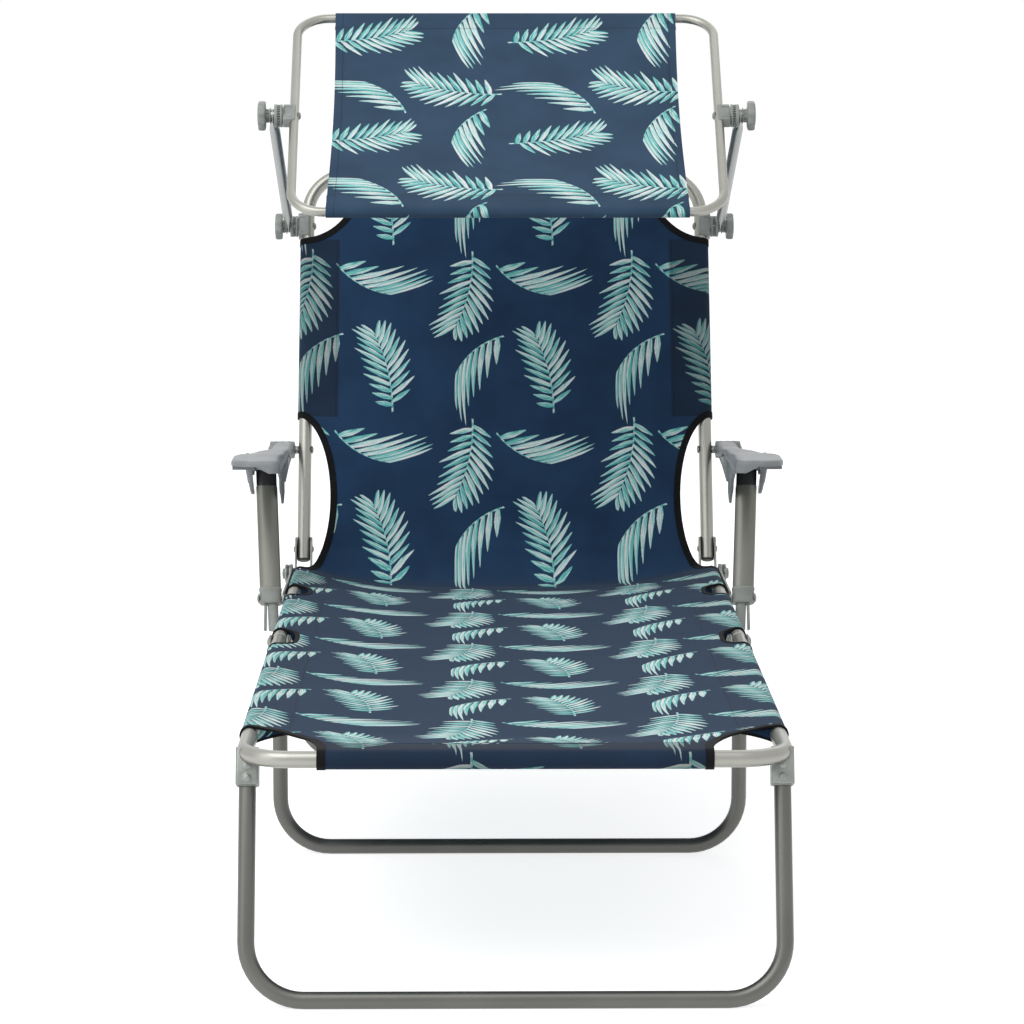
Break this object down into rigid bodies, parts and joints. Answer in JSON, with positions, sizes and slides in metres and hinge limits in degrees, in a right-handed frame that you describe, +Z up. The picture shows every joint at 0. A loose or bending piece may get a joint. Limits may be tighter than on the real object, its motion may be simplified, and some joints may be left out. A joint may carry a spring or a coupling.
{
  "type": "sun lounger with canopy",
  "caption": "Folding sun lounger with sling cloth, reclining back, swinging armrests and a tilting sun canopy.",
  "frame": {"origin": "on the floor, under the middle of the whole lounger", "axes": "+Z up, +Y towards the head end, +X to the left of a person lying on it, which is the right as seen from the foot end"},
  "size_m": [0.72, 1.5862, 1.0125],
  "materials": {
    "frame_steel": "silver grey powder coat",
    "leg_steel": "darker grey powder coat",
    "zinc": "bright zinc plate",
    "moulded_grey": "fine moulded grain",
    "dark_plastic": "plain moulded",
    "knob_grey": "satin moulded",
    "cloth_navy": "woven sling cloth with a leaf print"
  },
  "bodies": {
    "mid_section": {"rear_leg": "leg_steel", "seat_cloth": "cloth_navy", "seat_rail_left": "frame_steel", "seat_rail_right": "frame_steel", "rear_leg_bracket_left": "zinc", "rear_leg_bracket_right": "zinc", "foot_hinge_channel_left": "zinc", "foot_hinge_channel_right": "zinc", "foot_hinge_pin_left": "zinc", "foot_hinge_pin_right": "zinc", "recline_arm_left": "zinc", "recline_arm_right": "zinc", "strut_pivot_pin_left": "zinc", "strut_pivot_pin_right": "zinc"},
    "foot_section": {"foot_frame": "frame_steel", "front_leg": "leg_steel", "middle_leg": "leg_steel", "foot_cloth": "cloth_navy", "front_leg_bracket_left": "zinc", "front_leg_bracket_right": "zinc", "middle_leg_bracket_left": "zinc", "middle_leg_bracket_right": "zinc"},
    "back": {"back_frame": "frame_steel", "back_cloth": "cloth_navy", "back_end_bracket_left": "zinc", "back_end_bracket_right": "zinc", "back_pivot_bolt_left": "zinc", "back_pivot_bolt_right": "zinc", "recline_disc_left": "zinc", "recline_disc_right": "zinc", "armrest_pin_left": "zinc", "armrest_pin_right": "zinc", "lower_clamp_left": "knob_grey", "lower_clamp_right": "knob_grey"},
    "canopy": {"canopy_frame": "frame_steel", "canopy_cloth": "cloth_navy", "upper_clamp_left": "knob_grey", "upper_clamp_right": "knob_grey"},
    "strut_left": {"strut_left": "leg_steel", "strut_foot_left": "knob_grey", "strut_cap_left": "dark_plastic", "strut_head_pin_left": "zinc"},
    "armrest_left": {"armrest_left": "moulded_grey"},
    "link_left": {"canopy_link_left": "frame_steel"},
    "lower_knob_left": {"lower_knob_left": "knob_grey"},
    "upper_knob_left": {"upper_knob_left": "knob_grey"},
    "strut_right": {"strut_right": "leg_steel", "strut_foot_right": "knob_grey", "strut_cap_right": "dark_plastic", "strut_head_pin_right": "zinc"},
    "armrest_right": {"armrest_right": "moulded_grey"},
    "link_right": {"canopy_link_right": "frame_steel"},
    "lower_knob_right": {"lower_knob_right": "knob_grey"},
    "upper_knob_right": {"upper_knob_right": "knob_grey"}
  },
  "joints": [
    {"name": "foot_fold", "type": "hinge", "parent": "mid_section", "child": "foot_section", "pos_m": [0, -0.03646, 0.252], "axis": [1, 0, 0], "range_deg": [-95, 0]},
    {"name": "back_recline", "type": "hinge", "parent": "mid_section", "child": "back", "pos_m": [0, 0.53255, 0.249], "axis": [1, 0, 0], "range_deg": [-65, 30]},
    {"name": "strut_left_swing", "type": "hinge", "parent": "mid_section", "child": "strut_left", "pos_m": [-0.311, 0.31755, 0.249], "axis": [1, 0, 0], "range_deg": [-65, 30]},
    {"name": "armrest_left_swing", "type": "hinge", "parent": "back", "child": "armrest_left", "pos_m": [-0.309, 0.60819, 0.41123], "axis": [1, 0, 0], "range_deg": [-30, 65]},
    {"name": "strut_right_swing", "type": "hinge", "parent": "mid_section", "child": "strut_right", "pos_m": [0.311, 0.31755, 0.249], "axis": [1, 0, 0], "range_deg": [-65, 30]},
    {"name": "armrest_right_swing", "type": "hinge", "parent": "back", "child": "armrest_right", "pos_m": [0.309, 0.60819, 0.41123], "axis": [1, 0, 0], "range_deg": [-30, 65]},
    {"name": "canopy_raise", "type": "hinge", "parent": "back", "child": "link_left", "pos_m": [-0.305, 0.74892, 0.71303], "axis": [1, 0, 0], "range_deg": [-60, 15]},
    {"name": "canopy_raise_right", "type": "hinge", "parent": "back", "child": "link_right", "pos_m": [0.305, 0.74892, 0.71303], "axis": [1, 0, 0], "range_deg": [-60, 15]},
    {"name": "canopy_tilt", "type": "hinge", "parent": "link_left", "child": "canopy", "pos_m": [-0.305, 0.358, 0.87977], "axis": [1, 0, 0], "range_deg": [-60, 15]},
    {"name": "lower_knob_left_turn", "type": "hinge", "parent": "back", "child": "lower_knob_left", "pos_m": [-0.318, 0.74892, 0.71303], "axis": [1, 0, 0], "continuous": true},
    {"name": "upper_knob_left_turn", "type": "hinge", "parent": "canopy", "child": "upper_knob_left", "pos_m": [-0.318, 0.358, 0.87977], "axis": [1, 0, 0], "continuous": true},
    {"name": "lower_knob_right_turn", "type": "hinge", "parent": "back", "child": "lower_knob_right", "pos_m": [0.318, 0.74892, 0.71303], "axis": [1, 0, 0], "continuous": true},
    {"name": "upper_knob_right_turn", "type": "hinge", "parent": "canopy", "child": "upper_knob_right", "pos_m": [0.318, 0.358, 0.87977], "axis": [1, 0, 0], "continuous": true}
  ],
  "couplings": [
    {"joint": "strut_left_swing", "follows": "back_recline", "ratio": 1},
    {"joint": "strut_right_swing", "follows": "back_recline", "ratio": 1},
    {"joint": "armrest_left_swing", "follows": "back_recline", "ratio": -1},
    {"joint": "armrest_right_swing", "follows": "back_recline", "ratio": -1},
    {"joint": "canopy_raise_right", "follows": "canopy_raise", "ratio": 1}
  ]
}
